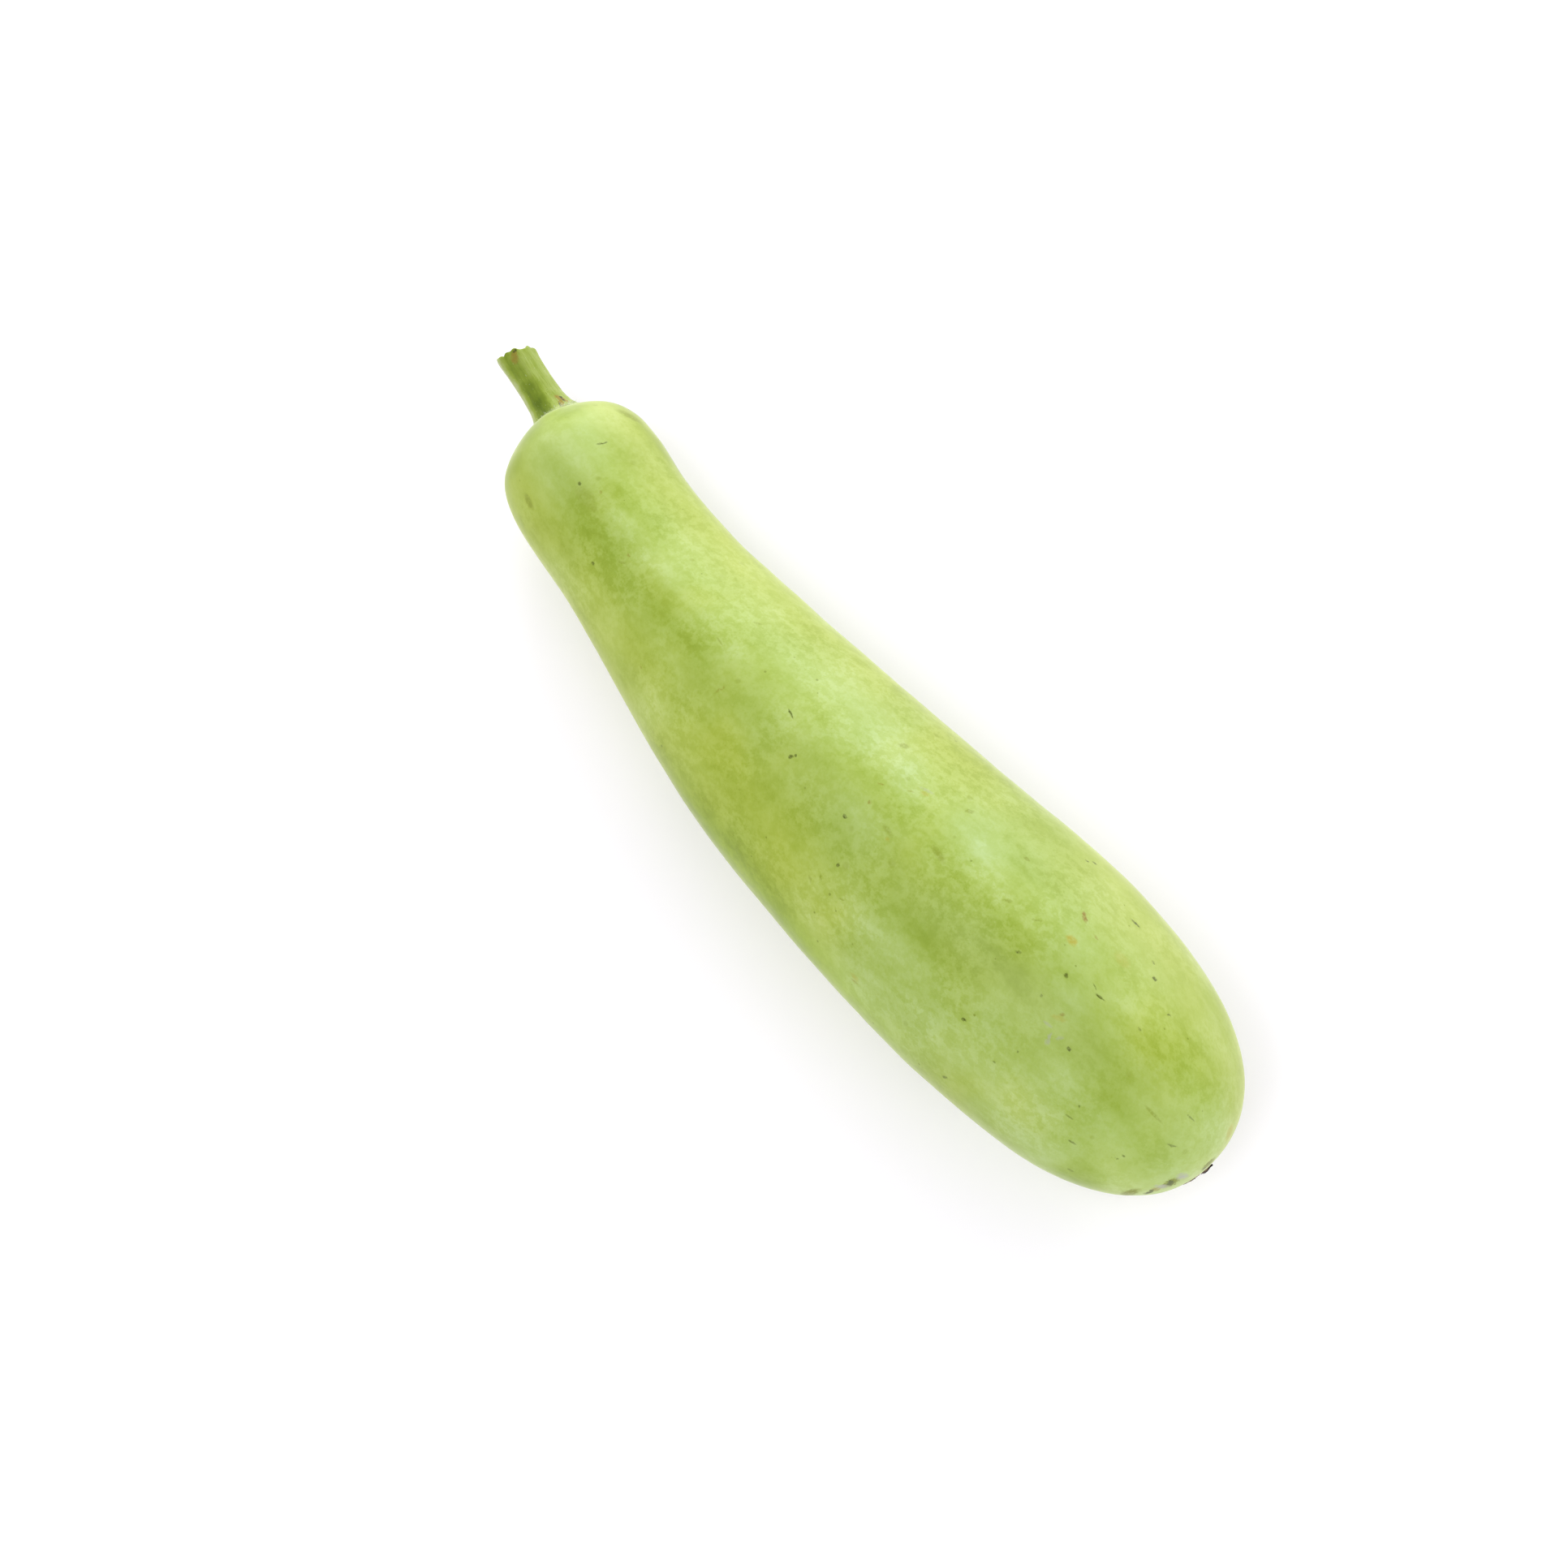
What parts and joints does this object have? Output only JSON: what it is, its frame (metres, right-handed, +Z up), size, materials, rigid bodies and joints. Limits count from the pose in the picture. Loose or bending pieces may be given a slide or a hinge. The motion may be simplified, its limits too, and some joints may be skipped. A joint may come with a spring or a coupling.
{
  "type": "bottle gourd",
  "caption": "Long pale green bottle gourd as picked, lying on its side, with its cut stem and the dried flower at the thick end.",
  "frame": {"origin": "the middle of the base of the bounding box, on the surface that the gourd lies on", "axes": "+X along the fruit from its stem to its flower end, +Z up, +Y to the side that the stem end bends towards"},
  "size_m": [0.37, 0.0916, 0.0919],
  "materials": {
    "skin": "smooth, softly glossy, cloudy pale green rind",
    "stem": "matt, faintly downy green stalk with lengthwise ridges",
    "dried_flower": "dry, matt, crumpled brown petals"
  },
  "bodies": {
    "root": {"fruit": "skin", "stem": "stem", "dried_flower": "dried_flower"}
  },
  "joints": []
}
